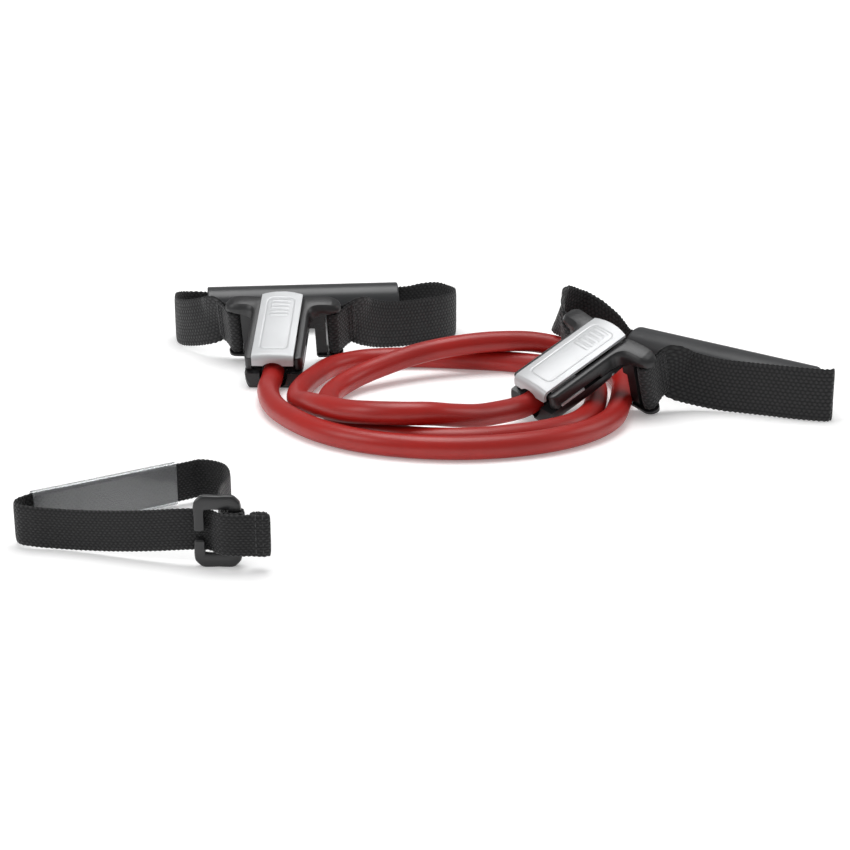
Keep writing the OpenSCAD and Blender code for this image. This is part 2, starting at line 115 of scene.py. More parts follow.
def flow(rows, step):
    """A smooth curve through rows, whose first three columns are a point and whose others follow
    it: a cubic between rows, with the slope at a row the two neighbouring slopes weighed by
    distance. The curve is cut every step."""
    rows = np.asarray(rows, float)
    gap = np.linalg.norm(np.diff(rows[:, :3], axis=0), axis=1)
    at = np.concatenate([[0], np.cumsum(gap)])
    rise = np.diff(rows, axis=0) / gap[:, None]
    inner = (rise[1:] * gap[:-1, None] + rise[:-1] * gap[1:, None]) / (gap[1:] + gap[:-1])[:, None]
    slope = np.vstack([rise[:1], inner, rise[-1:]])
    s = np.linspace(0, at[-1], int(round(at[-1] / step)) + 1)
    k = np.clip(np.searchsorted(at, s, side="right") - 1, 0, len(gap) - 1)
    t = ((s - at[k]) / gap[k])[:, None]
    return (rows[k] * (1 + 2 * t) * (1 - t) ** 2 + rows[k + 1] * t * t * (3 - 2 * t)
            + gap[k, None] * (slope[k] * t * (1 - t) ** 2 - slope[k + 1] * t * t * (1 - t)))


def add_piece(name, mesh, material):
    """A mesh as an object of the scene, with its material."""
    mesh.materials.append(material)
    piece = bpy.data.objects.new(name, mesh)
    scene.collection.objects.link(piece)
    return piece


def signed_volume(grid, loop):
    """Six times the volume inside the rings, negative when their faces look inwards."""
    if loop:
        grid = np.concatenate([grid, grid[:1]])
    a, b = grid[:-1], np.roll(grid, -1, 1)[:-1]
    c, d = np.roll(grid, -1, 1)[1:], grid[1:]
    total = (a * np.cross(b, c)).sum() + (a * np.cross(c, d)).sum()
    if not loop:
        for ring, sign in ((grid[0], -1), (grid[-1], 1)):
            total += sign * (ring.mean(0) * np.cross(ring, np.roll(ring, -1, 0))).sum()
    return total


def skin(name, grid, material, around=None, loop=False):
    """A closed skin through rings: grid[i, j] is point j of ring i. Every ring closes on itself.
    The end rings are filled, or with loop the last ring joins the first. The UV map holds metres
    along the piece and metres around it, or around when that is given."""
    grid = np.asarray(grid, float)
    if around is None:
        wide = grid[len(grid) // 2]
        gaps = np.linalg.norm(np.roll(wide, -1, 0) - wide, axis=1)
        around = np.concatenate([[0], np.cumsum(gaps)])
    if signed_volume(grid, loop) < 0:
        grid = np.roll(grid[:, ::-1], 1, axis=1)
        around = np.asarray(around)[::-1]
    n, m = grid.shape[:2]
    along = np.concatenate([[0], np.cumsum(np.linalg.norm(np.diff(grid.mean(1), axis=0), axis=1))])
    index = np.arange(n * m).reshape(n, m)
    low = index if loop else index[:-1]
    high = np.roll(index, -1, 0) if loop else index[1:]
    quads = np.stack([low, np.roll(low, -1, 1), np.roll(high, -1, 1), high], -1).reshape(-1, 4)
    if loop:
        along = np.arange(n + 1) * np.linalg.norm(grid[1] - grid[0], axis=-1).max()
    u = np.broadcast_to(along[:len(low), None], low.shape)
    u2 = np.broadcast_to(along[1:len(low) + 1, None], low.shape)
    v = np.broadcast_to(around[:m], low.shape)
    v2 = np.broadcast_to(around[1:m + 1], low.shape)
    corner_uv = np.stack([np.stack([u, v], -1), np.stack([u, v2], -1),
                          np.stack([u2, v2], -1), np.stack([u2, v], -1)], 2).reshape(-1, 2)
    corners, starts = quads.ravel(), np.arange(len(quads)) * 4
    if not loop:
        corners = np.concatenate([corners, index[0][::-1], index[-1]])
        starts = np.concatenate([starts, [4 * len(quads), 4 * len(quads) + m]])
        ends = np.stack([np.zeros(m), around[:m]], -1)
        corner_uv = np.concatenate([corner_uv, ends[::-1], ends + [along[-1], 0]])
    mesh = bpy.data.meshes.new(name)
    mesh.vertices.add(n * m)
    mesh.vertices.foreach_set("co", grid.astype(np.float32).ravel())
    mesh.loops.add(len(corners))
    mesh.loops.foreach_set("vertex_index", corners.astype(np.int32))
    mesh.polygons.add(len(starts))
    mesh.polygons.foreach_set("loop_start", starts.astype(np.int32))
    mesh.polygons.foreach_set("use_smooth", np.arange(len(starts)) < len(quads))
    mesh.update(calc_edges=True)
    mesh.uv_layers.new(name="UVMap").data.foreach_set("uv", corner_uv.astype(np.float32).ravel())
    return add_piece(name, mesh, material)


def rings_along(path, radius, sides):
    """Circles of that radius around the points of path, each square to the path, its first point
    level with the path on the left."""
    way = unit(np.gradient(path, axis=0))
    left = unit(np.cross([0, 0, 1], way))
    up = np.cross(way, left)
    turn = np.linspace(0, 2 * math.pi, sides, endpoint=False)[None, :, None]
    return path[:, None] + radius * (np.cos(turn) * left[:, None] + np.sin(turn) * up[:, None])


def put(tree, kind, settings=(), **inputs):
    """A shader node with its settings, each input a plain value or another node's output. An
    input is named by its label, or by _ and its number."""
    made = tree.nodes.new(kind)
    for key, value in dict(settings).items():
        setattr(made, key, value)
    for key, value in inputs.items():
        socket = made.inputs[int(key[1:])] if key[0] == "_" else made.inputs[key.replace("_", " ")]
        if isinstance(value, bpy.types.NodeSocket):
            tree.links.new(value, socket)
        else:
            socket.default_value = value
    return made


def calc(tree, operation, a, b=0.0, c=0.0):
    """The result of one sum on values of a shader."""
    return put(tree, "ShaderNodeMath", {"operation": operation}, _0=a, _1=b, _2=c).outputs[0]


def remap(tree, value, from_low, from_high, to_low, to_high):
    """Value moved from one range to another, and held inside it."""
    return put(tree, "ShaderNodeMapRange", _0=value, _1=from_low, _2=from_high,
               _3=to_low, _4=to_high).outputs[0]


def blend_colour(tree, share, first, second):
    """First colour where share is 0, second where it is 1."""
    made = put(tree, "ShaderNodeMix", {"data_type": "RGBA"}, _0=share, _6=first, _7=second)
    return made.outputs[2]


def new_group(name, inputs, outputs):
    """An empty node group with number inputs and their defaults, and number outputs."""
    group = bpy.data.node_groups.new(name, "ShaderNodeTree")
    for label, default in inputs.items():
        socket = group.interface.new_socket(label, in_out="INPUT", socket_type="NodeSocketFloat")
        socket.default_value = default
    for label in outputs:
        group.interface.new_socket(label, in_out="OUTPUT", socket_type="NodeSocketFloat")
    return group, group.nodes.new("NodeGroupInput"), group.nodes.new("NodeGroupOutput")


# Handled surface: Grain is a fine even tooth, Cloud slow patches, Specks sparse dust, and
# Scuffs faint drawn-out rubs, all on the piece's own coordinates.
handled, handled_in, handled_out = new_group(
    "handled_surface", {"Grain size": 0.0004, "Cloud size": 0.03}, ["Grain", "Cloud", "Specks", "Scuffs"])
spot = put(handled, "ShaderNodeTexCoord").outputs["Object"]
grain_scale = calc(handled, "DIVIDE", 1.0, handled_in.outputs["Grain size"])
cloud_scale = calc(handled, "DIVIDE", 1.0, handled_in.outputs["Cloud size"])
grain_noise = put(handled, "ShaderNodeTexNoise", Vector=spot, Scale=grain_scale, Detail=2.0)
cloud_noise = put(handled, "ShaderNodeTexNoise", Vector=spot, Scale=cloud_scale, Detail=4.0)
speck_cells = put(handled, "ShaderNodeTexVoronoi", Vector=spot, Scale=260.0)
speck_noise = put(handled, "ShaderNodeTexNoise", Vector=spot, Scale=90.0, Detail=1.0)
specks = calc(handled, "MULTIPLY",
              remap(handled, speck_cells.outputs["Distance"], 0.06, 0.11, 1.0, 0.0),
              remap(handled, speck_noise.outputs["Fac"], 0.6, 0.66, 0.0, 1.0))
drawn = put(handled, "ShaderNodeMapping", Vector=spot, Rotation=(0.4, 0.2, 0.7),
            Scale=(1.0, 14.0, 14.0)).outputs[0]
scuff_noise = put(handled, "ShaderNodeTexNoise", Vector=drawn, Scale=70.0, Detail=3.0)
for label, value in (("Grain", grain_noise.outputs["Fac"]), ("Cloud", cloud_noise.outputs["Fac"]),
                     ("Specks", specks),
                     ("Scuffs", remap(handled, scuff_noise.outputs["Fac"], 0.62, 0.72, 0.0, 1.0))):
    handled.links.new(value, handled_out.inputs[label])


def finish_of(name, colour, worn, rough, rough_worn, grain_size=0.0004, tooth=0.1, dust=0.0,
              **plain):
    """A material on the handled surface: colour drifts to worn with the clouds, scuffs and dust
    make it rougher and paler, and the grain is a fine bump. Plain are the shader's own values."""
    material = bpy.data.materials.new(name)
    material.use_nodes = True
    tree = material.node_tree
    tree.nodes.clear()
    marks = put(tree, "ShaderNodeGroup", {"node_tree": handled})
    marks.inputs["Grain size"].default_value = grain_size
    tone = remap(tree, marks.outputs["Cloud"], 0.35, 0.65, 0.0, 1.0)
    tinted = blend_colour(tree, tone, (*colour, 1), (*worn, 1))
    dusty = calc(tree, "MULTIPLY", marks.outputs["Specks"], dust)
    tinted = blend_colour(tree, dusty, tinted, (0.5, 0.5, 0.5, 1))
    rubbed = calc(tree, "MULTIPLY", marks.outputs["Scuffs"], 0.5)
    roughness = remap(tree, calc(tree, "ADD", tone, rubbed), 0.0, 1.5, rough, rough_worn)
    bump = put(tree, "ShaderNodeBump", Strength=tooth, Distance=0.0002,
               Height=marks.outputs["Grain"])
    shader = put(tree, "ShaderNodeBsdfPrincipled", Base_Color=tinted, Roughness=roughness,
                 Normal=bump.outputs[0], **plain)
    put(tree, "ShaderNodeOutputMaterial", Surface=shader.outputs[0])
    return material


rubber = finish_of("tube_rubber", (0.40, 0.012, 0.008), (0.34, 0.009, 0.006), 0.34, 0.46,
                   tooth=0.05, dust=0.12, IOR=1.5)
tube_path = flow(tube_route, 0.0016)
tube_length = float(np.linalg.norm(np.diff(tube_path, axis=0), axis=1).sum())
tube = skin("tube_red_rubber", rings_along(tube_path, TUBE_D / 2, 32), rubber)
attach(tube, "root")
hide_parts("resistance_tube")

# ---- tube ends ----
# A moulded plug is locked on each end of the tube and held in the connector's socket; a soft
# collar in front of it keeps the tube from rubbing on the mouth.
soft_black = finish_of("collar_rubber", (0.012, 0.012, 0.013), (0.02, 0.02, 0.021), 0.5, 0.7,
                       tooth=0.2)
for side in "ab":
    for name in (f"tube_plug_{side}", f"tube_collar_{side}"):
        nodes[name].material_slots[0].material = soft_black

# ---- connector housings ----
# The lower half of each connector is injection-moulded nylon with the mouth, the plug's socket,
# and an ear under each strap bar. Its edges are eased by the mould.
nylon = finish_of("housing_nylon", (0.011, 0.011, 0.012), (0.016, 0.016, 0.017), 0.26, 0.42,
                  grain_size=0.0005, tooth=0.08, dust=0.1, IOR=1.5)


def eased(piece, width, steps=2, angle=35):
    """Rounds a piece's sharp edges, as a mould does, and shades its faces smoothly."""
    bevel = piece.modifiers.new("eased_edges", "BEVEL")
    bevel.width = width
    bevel.segments = steps
    bevel.limit_method = "ANGLE"
    bevel.angle_limit = math.radians(angle)
    bevel.use_clamp_overlap = True
    bevel.miter_outer = "MITER_ARC"
    piece.modifiers.new("even_shading", "WEIGHTED_NORMAL").keep_sharp = True


def moulded(name, node, material, ease):
    """A copy of a design part with its loose triangles joined, flat faces merged and edges eased."""
    mesh = nodes[node].data.copy()
    mesh.materials.clear()
    work = bmesh.new()
    work.from_mesh(mesh)
    bmesh.ops.remove_doubles(work, verts=work.verts, dist=2e-6)
    bmesh.ops.dissolve_limit(work, angle_limit=math.radians(1), verts=work.verts, edges=work.edges)
    for face in work.faces:
        face.smooth = True
    work.to_mesh(mesh)
    work.free()
    piece = add_piece(name, mesh, material)
    eased(piece, ease)
    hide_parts(node)
    return piece


for side in "ab":
    housing = moulded(f"housing_{side}", f"lower_housing_{side}", nylon, 0.00045)
    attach(housing, "root")

# ---- connector covers ----
# The upper half is a second moulding with a fine matte grain: a rail on each side of the lock
# plate that swells into a drooping arm over the strap bar, and a bridge under the plate.
matte = finish_of("cover_matte", (0.014, 0.014, 0.015), (0.02, 0.02, 0.021), 0.33, 0.45,
                  grain_size=0.0003, tooth=0.2, dust=0.08, IOR=1.5)


def bar_between(outer, inner, top, low, cut, drop, edge):
    """Rings of a bar that fills the strip from inner to outer, two lines on the plan, between
    heights low and top. The outer top edge is cut back by cut and down by drop, and every corner
    is rounded over edge."""
    across = outer - inner
    wide = np.linalg.norm(across, axis=1)
    e = np.minimum(edge, wide * 0.2)
    cut = np.minimum(cut, wide * 0.4)
    stops = np.stack([0 * e, 0 * e, 0.3 * e, e, wide / 2, wide - cut - 0.3 * e, wide - cut,
                      wide - 0.3 * e, wide, wide, wide - 0.3 * e, wide - e, wide / 2, e, 0.3 * e], 1)
    heights = np.stack([low + e, top - e, top - 0.3 * e, top, top + 0.12 * e, top, top - 0.15 * e,
                        top - drop, top - drop - 0.7 * e, low + e, low + 0.3 * e, low, low, low,
                        low + 0.3 * e], 1)
    plan = inner[:, None] + across[:, None] * (stops / wide[:, None])[..., None]
    return np.concatenate([plan, heights[..., None]], -1)


# Outer x and y, inner x and y, top, low, and the outer edge's cut and drop, from nose to arm tip
rail_rows = np.array([
    [0.3, 14.4, 0.3, 13.2, -0.7, -8.2, 0.2, 0.3], [0.7, 15.7, 0.5, 12.7, -0.2, -8.8, 0.3, 0.4],
    [1.7, 16.5, 1.4, 12.5, 0.0, -9.0, 0.5, 0.5], [3.4, 17.0, 3.2, 12.5, 0.0, -9.0, 0.7, 0.6],
    [4.6, 17.0, 4.6, 12.5, 0.0, -9.0, 0.8, 0.6], [4.9, 17.0, 4.9, 12.5, 0.0, -7.0, 0.8, 0.6],
    [14.0, 17.0, 14.0, 12.5, 0.0, -7.0, 0.8, 0.6], [24.0, 17.0, 24.0, 12.5, 0.0, -7.0, 0.8, 0.6],
    [34.4, 17.0, 34.5, 12.5, 0.0, -7.0, 0.9, 0.7], [34.7, 17.0, 34.8, 12.5, 0.0, -9.0, 0.9, 0.7],
    [40.0, 17.0, 42.0, 12.5, 0.0, -9.0, 1.0, 0.9], [44.2, 17.1, 50.0, 12.5, 0.0, -9.0, 1.3, 1.4],
    [46.8, 17.8, 56.0, 12.5, 0.0, -8.8, 1.7, 1.9], [48.6, 19.3, 59.4, 12.8, 0.0, -8.4, 2.1, 2.3],
    [49.6, 21.4, 60.3, 15.6, 0.0, -7.6, 2.4, 2.6], [50.1, 24.2, 60.8, 20.0, -0.1, -6.9, 2.5, 2.7],
    [50.5, 27.4, 61.4, 25.0, -0.4, -6.6, 2.4, 2.6], [51.2, 30.6, 61.7, 29.2, -1.1, -6.6, 2.2, 2.2],
    [52.5, 33.2, 61.0, 32.6, -2.3, -6.6, 1.9, 1.7], [54.4, 34.9, 59.6, 34.6, -3.6, -6.6, 1.5, 1.1],
    [55.9, 35.4, 58.2, 35.3, -4.6, -6.6, 1.0, 0.6]])


def rail_rings(hand):
    """Rings of one rail and its arm; hand is 1 for the left and -1 for the right."""
    mid = (rail_rows[:, :2] + rail_rows[:, 2:4]) / 2
    plan = flow(np.column_stack([mid, 0 * mid[:, 0], rail_rows[:, :4]]), 0.45)
    gap = np.linalg.norm(np.diff(mid, axis=0), axis=1)
    at = np.concatenate([[0], np.cumsum(gap)])
    s = np.linspace(0, at[-1], len(plan))
    top, low, cut, drop = (np.interp(s, at, rail_rows[:, k]) for k in (4, 5, 6, 7))
    rings = bar_between(plan[:, 3:5], plan[:, 5:7], top, low, cut, drop, 0.5)
    return rings * [1, hand, 1]


def block_rings(x0, x1, y0, y1, z0, z1, edge):
    """Rings of a block with rounded edges, square to x, the end rings drawn in by the edge."""
    steps = np.array([0, 0.3, 1])
    x = np.concatenate([x0 + edge * steps, x1 - edge * steps[::-1]])
    inset = edge * np.concatenate([1 - steps, steps[::-1] * 0 + (1 - steps[::-1])])
    turn = np.radians([0, 30, 60, 90])
    corner = np.column_stack([np.cos(turn), np.sin(turn)])
    quarter = np.array([[0, -1], [1, 0]])
    ring, spin = [], np.eye(2)
    for cy, cz in ((1, 1), (-1, 1), (-1, -1), (1, -1)):
        middle = np.array([(y1 if cy > 0 else y0) - cy * edge, (z1 if cz > 0 else z0) - cz * edge])
        ring.append(middle + edge * 0.999 * corner @ spin.T)
        spin = quarter @ spin
    ring = np.vstack(ring)
    centre = ring.mean(0)
    half = np.array([y1 - y0, z1 - z0]) / 2
    shrink = 1 - inset[:, None] / half
    plan = centre + (ring - centre) * shrink[:, None]
    return np.concatenate([np.broadcast_to(x[:, None, None], plan.shape[:2] + (1,)), plan], -1)


def join(name, parts):
    """Several meshes of one material as one piece."""
    with bpy.context.temp_override(active_object=parts[0], object=parts[0],
                                   selected_objects=parts, selected_editable_objects=parts):
        bpy.ops.object.join()
    parts[0].name = name
    return parts[0]


for side, place in seats.items():
    parts = [skin("rail", place(rail_rings(hand)), matte) for hand in (1, -1)]
    for limits in ((40, 59, 3.3, 12.9, -9, -2.9, 0.4), (40, 59, -12.9, -3.3, -9, -2.9, 0.4),
                   (52, 59.2, -3.4, 3.4, -9, -2.9, 0.4)):
        parts.append(skin("bridge", place(block_rings(*limits)), matte))
    cover = join(f"cover_{side}", parts)
    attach(cover, "root")
    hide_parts(f"upper_cover_{side}")

# ---- lock plates ----
# A satin grey plate slides in each cover: pushed back against its spring, it clears the mouth
# and frees the plug. It is crowned, with a turned-down front lip arched over the tube.
plate_grey = finish_of("plate_grey", (0.55, 0.56, 0.57), (0.51, 0.52, 0.53), 0.30, 0.42,
                       grain_size=0.0003, tooth=0.06, dust=0.0, IOR=1.5, Metallic=0.15)
PLATE_HALF = 12.1
PLATE_CROWN = 0.9


def plate_face(x, y):
    """Height of the plate's top: a crown across it, a fine groove round a plain long panel with
    round corners, and five low ribs for the thumb."""
    crown = 0.55 + PLATE_CROWN * (1 - (y / PLATE_HALF) ** 2)
    dx = np.abs(x - 30.5) - 21.5
    dy = np.abs(y) - 5.0
    off = np.hypot(np.maximum(dx, 0), np.maximum(dy, 0)) + np.minimum(np.maximum(dx, dy), 0) - 3
    groove = -0.28 * np.exp(-(off / 0.4) ** 2)
    ribs = sum(np.exp(-((x - at) / 0.75) ** 4) for at in (38, 41.5, 45, 48.5, 52))
    return crown + groove + 0.3 * ribs / (1 + np.exp((np.abs(y) - 5.2) / 0.15))


def plate_grid():
    """The plate's upper side: rows run from the bowed rear edge to the nose, round a 2 mm bend,
    and down to the lip's edge, which is arched over the tube."""
    y = PLATE_HALF * np.sin(np.linspace(-math.pi / 2, math.pi / 2, 65)) * 0.35 \
        + PLATE_HALF * np.linspace(-1, 1, 65) * 0.65
    rear = 59.2 + 1.8 * (1 - (y / PLATE_HALF) ** 2)
    share = np.linspace(0, 1, 150)[:, None]
    x = rear * (1 - share) + 1.5 * share
    flat = np.stack([x, np.broadcast_to(y, x.shape), plate_face(x, y)], -1)
    bend = np.radians(np.linspace(10, 78, 8))[:, None]
    start = flat[-1][:, 2]
    bent = np.stack([1.5 - 2 * np.sin(bend) + 0 * y, np.broadcast_to(y, (8, 65)),
                     start - 2 + 2 * np.cos(bend)], -1)
    arch = np.where(np.abs(y) < 8.5, -9.8 + np.sqrt(np.maximum(8.6 ** 2 - y ** 2, 0)), -99)
    lip = np.maximum(arch, -3.4)
    share = np.linspace(0.25, 1, 5)[:, None]
    end = bent[-1]
    fall = end[:, 2] * (1 - share) + lip * share
    down = np.stack([end[:, 0] - 0.2 * (end[:, 2] - fall), np.broadcast_to(y, fall.shape), fall], -1)
    return np.concatenate([flat, bent, down])


def sheet_of(name, grid, material):
    """An open sheet through the points of a grid."""
    n, m = grid.shape[:2]
    index = np.arange(n * m).reshape(n, m)
    quads = np.stack([index[:-1, :-1], index[:-1, 1:], index[1:, 1:], index[1:, :-1]], -1)
    mesh = bpy.data.meshes.new(name)
    mesh.from_pydata(grid.reshape(-1, 3), [], quads.reshape(-1, 4))
    mesh.polygons.foreach_set("use_smooth", np.ones(len(mesh.polygons), bool))
    return add_piece(name, mesh, material)


for side, place in seats.items():
    plate = sheet_of(f"plate_{side}", place(plate_grid())[::-1], plate_grey)
    wall = plate.modifiers.new("wall", "SOLIDIFY")
    wall.thickness = 0.0019
    wall.offset = -1
    eased(plate, 0.00035, 2, 50)
    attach(plate, f"lock_{side}")
    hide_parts(f"lock_plate_{side}")
    parts = []
    for hand in (1, -1):
        leg, foot = sorted((hand * 9.6, hand * 12)), sorted((hand * 11.4, hand * 17.3))
        parts.append(skin("leg", place(block_rings(5, 22, *leg, -8.9, -0.9, 0.3)), plate_grey))
        parts.append(skin("foot", place(block_rings(5, 22, *foot, -8.9, -7.2, 0.3)), plate_grey))
    parts.append(skin("boss", place(block_rings(24, 27, -3, 3, -8.8, -0.9, 0.3)), plate_grey))
    legs = join(f"plate_legs_{side}", parts)
    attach(legs, f"lock_{side}")

# ---- lock springs, strap bars and screws ----
# A coil spring of bright wire behind each plate, a plated steel bar for each end of the
# webbing, and four screws from below that hold the two halves together.
bright_steel = finish_of("spring_steel", (0.62, 0.62, 0.62), (0.5, 0.5, 0.5), 0.2, 0.35,
                         tooth=0.05, Metallic=1.0)
satin_steel = finish_of("bar_steel", (0.42, 0.42, 0.43), (0.33, 0.33, 0.34), 0.3, 0.45,
                        tooth=0.1, Metallic=1.0)
SPRING_X = (27.4, 51.6)
for side, place in seats.items():
    turn = np.linspace(0, 2 * math.pi * 7, 7 * 28)
    coil = np.stack([np.linspace(*SPRING_X, len(turn)), 2.3 * np.cos(turn),
                     -6 + 2.3 * np.sin(turn)], -1)
    way = unit(np.gradient(coil, axis=0))
    outward = unit(np.stack([0 * turn, np.cos(turn), np.sin(turn)], -1))
    third = np.cross(way, outward)
    around = np.linspace(0, 2 * math.pi, 8, endpoint=False)[None, :, None]
    wire = coil[:, None] + 0.35 * (np.cos(around) * outward[:, None] + np.sin(around) * third[:, None])
    spring = skin(f"spring_{side}", place(wire), bright_steel)
    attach(spring, "root")
    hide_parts(f"lock_spring_{side}")
    rear, front = place([52, 0, -6]), place([27, 0, -6])
    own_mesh(spring)
    nodes[f"strap_bars_{side}"].material_slots[0].material = satin_steel
    nodes[f"housing_screws_{side}"].material_slots[0].material = satin_steel

# ---- hand loops ----
# Black polyester webbing, 30 mm wide and 1.5 mm thick, woven in coarse ribs with scalloped
# selvedges. Each end goes round a strap bar and is sewn back on itself.
STRAP_W, STRAP_T = 30, 1.5
RIB = 2.7  # mm between the ribs that cross the webbing
BAR_X, BAR_OFF, FOLD_Z = 54, 30.5, -21.5

# Woven face: the yarns run in columns along the webbing, and each floats over one rib and dives
# under the next, with its neighbours half a step out. UV is metres along and across.
weave, weave_in, weave_out = new_group("webbing_weave", {"Rib": 0.0027, "Yarn": 0.00135},
                                       ["Height", "Float", "Fuzz"])
cloth_uv = put(weave, "ShaderNodeUVMap", {"uv_map": "UVMap"}).outputs[0]
axes = put(weave, "ShaderNodeSeparateXYZ", Vector=cloth_uv)
stray = put(weave, "ShaderNodeTexNoise", Vector=cloth_uv, Scale=420.0, Detail=2.0)
sway = calc(weave, "MULTIPLY", calc(weave, "SUBTRACT", stray.outputs["Fac"], 0.5), 0.35)
column = calc(weave, "DIVIDE", axes.outputs["Y"], weave_in.outputs["Yarn"])
step_out = calc(weave, "MULTIPLY", calc(weave, "FLOOR", column), 0.5)
length_turn = calc(weave, "ADD", calc(weave, "DIVIDE", axes.outputs["X"], weave_in.outputs["Rib"]),
                   calc(weave, "ADD", step_out, sway))
over = calc(weave, "MULTIPLY_ADD",
            calc(weave, "COSINE", calc(weave, "MULTIPLY", length_turn, 2 * math.pi)), 0.5, 0.5)
round_yarn = calc(weave, "ABSOLUTE", calc(weave, "SINE", calc(weave, "MULTIPLY", column, math.pi)))
fibre = put(weave, "ShaderNodeTexNoise",
            Vector=put(weave, "ShaderNodeMapping", Vector=cloth_uv, Scale=(1, 5, 1)).outputs[0],
            Scale=1800.0, Detail=2.0).outputs["Fac"]
yarn_height = calc(weave, "MULTIPLY", calc(weave, "POWER", round_yarn, 0.6),
                   calc(weave, "MULTIPLY_ADD", over, 0.7, 0.3))
for label, value in (("Height", calc(weave, "MULTIPLY_ADD", fibre, 0.2, yarn_height)),
                     ("Float", yarn_height), ("Fuzz", fibre)):
    weave.links.new(value, weave_out.inputs[label])


def webbing_of(name, rib, yarn):
    """Black webbing: the weave's height as bump, and yarn tops smoother, painted paler as a highlight,
    with painted shade in the dips.
    """
    material = bpy.data.materials.new(name)
    material.use_nodes = True
    tree = material.node_tree
    tree.nodes.clear()
    cloth = put(tree, "ShaderNodeGroup", {"node_tree": weave}, Rib=rib, Yarn=yarn)
    # The weave's height paints the colour: the paler yarn tops are a painted highlight, and the darker
    # dips between them are painted shade.
    colour = blend_colour(tree, cloth.outputs["Float"], (0.0025, 0.0025, 0.003, 1),
                          (0.02, 0.02, 0.021, 1))
    colour = blend_colour(tree, remap(tree, cloth.outputs["Fuzz"], 0.55, 0.8, 0.0, 0.3), colour,
                          (0.03, 0.03, 0.032, 1))
    bump = put(tree, "ShaderNodeBump", Strength=0.9, Distance=0.0004, Height=cloth.outputs["Height"])
    shader = put(tree, "ShaderNodeBsdfPrincipled", Base_Color=colour,
                 Roughness=remap(tree, cloth.outputs["Float"], 0.0, 1.0, 0.85, 0.55),
                 Normal=bump.outputs[0], IOR=1.45, Sheen_Weight=0.12, Sheen_Roughness=0.4)
    put(tree, "ShaderNodeOutputMaterial", Surface=shader.outputs[0])
    return material


def row(point, width=STRAP_W, up=(0, 0, 1)):
    """One row of a band: its middle, the way its width runs, and the width."""
    return [*point, *up, width]


def fold_points(middle, away, out, run, radius, gap):
    """Webbing round a bar: the cut end, one turn round the bar, and the start of the run. Away
    leads off from the bar, and out points to the side that the cut end lies on."""
    middle, away, out = (np.asarray(v, float) for v in (middle, away, out))
    turn = np.radians(np.arange(-20, 201, 22))[:, None]
    loop = middle + radius * (np.cos(turn) * out - np.sin(turn) * away)
    start = [middle + run * away + gap * out, middle + 10 * away + gap * out,
             middle + 6.5 * away + (gap + 0.7) * out]
    back = [middle + 6.5 * away - (gap + 0.7) * out, middle + 10 * away - gap * out,
            middle + run * away - gap * out]
    return np.vstack([start, loop, back])


WRAP_R = 4.4 / 2 + STRAP_T / 2 + 0.35
LAYER = STRAP_T / 2 + 0.12


def fold_axes(hand, out_angle):
    """The bar's middle, the way that the webbing leaves it, and the side of the cut end."""
    a = math.radians(out_angle)
    return ([BAR_X, hand * BAR_OFF, FOLD_Z], [math.cos(a), hand * math.sin(a), 0],
            [-math.sin(a), hand * math.cos(a), 0])


def bar_fold(side, hand, out_angle):
    """Rows of the webbing round one strap bar, on the floor plan in millimetres."""
    turn = {"a": turn_a, "b": turn_b}[side]
    local = fold_points(*fold_axes(hand, out_angle), 16, WRAP_R, LAYER)
    return [row(p, STRAP_W, turn[:, 2]) for p in seats[side](local) * 1000 + MIDDLE]


def in_grip(middle, yaw):
    """Rows of the webbing gathered inside a grip."""
    way = np.array([math.cos(math.radians(yaw)), math.sin(math.radians(yaw)), 0])
    return [row(np.array(middle) + x * way, 21) for x in (-63, 0, 63)]


def band_rings(rows, thick, rib, scallop, step=0.6):
    """Rings of a webbing band: a flat bar with thin selvedges, swelling a little at each rib, its
    edges scalloped at the same pitch. Returns the rings and the distance across."""
    line = flow(rows, step)
    way = unit(np.gradient(line[:, :3], axis=0))
    up = line[:, 3:6]
    up = unit(up - (up * way).sum(1, keepdims=True) * way)
    out = np.cross(way, up)
    along = np.concatenate([[0], np.cumsum(np.linalg.norm(np.diff(line[:, :3], axis=0), axis=1))])
    wave = np.sin(math.pi * along / rib) ** 2
    half = line[:, 6] / 2 - scallop * (1 - wave)
    share = np.sin(np.linspace(-math.pi / 2, math.pi / 2, 15)) * 0.4 + np.linspace(-1, 1, 15) * 0.6
    body = np.sqrt(1 - np.abs(share) ** 6 * 0.92)
    thickness = thick / 2 * body * (1 - 0.12 * (1 - wave))[:, None]
    share, thickness = (np.concatenate([v, v[..., ::-1]], -1) for v in (share, thickness))
    face = np.repeat([1, -1], 15)
    rings = (line[:, None, :3] + up[:, None] * (half[:, None] * share)[..., None]
             + out[:, None] * (thickness * face)[..., None])
    across = share * line[:, 6].max() / 2000
    return rings, np.append(across, across[0])


def webbing_band(name, rows, thick, rib, scallop, material):
    """A band of webbing along rows given in millimetres on the floor plan."""
    rings, across = band_rings(rows, thick, rib, scallop)
    return skin(name, metres(rings), material, around=across)


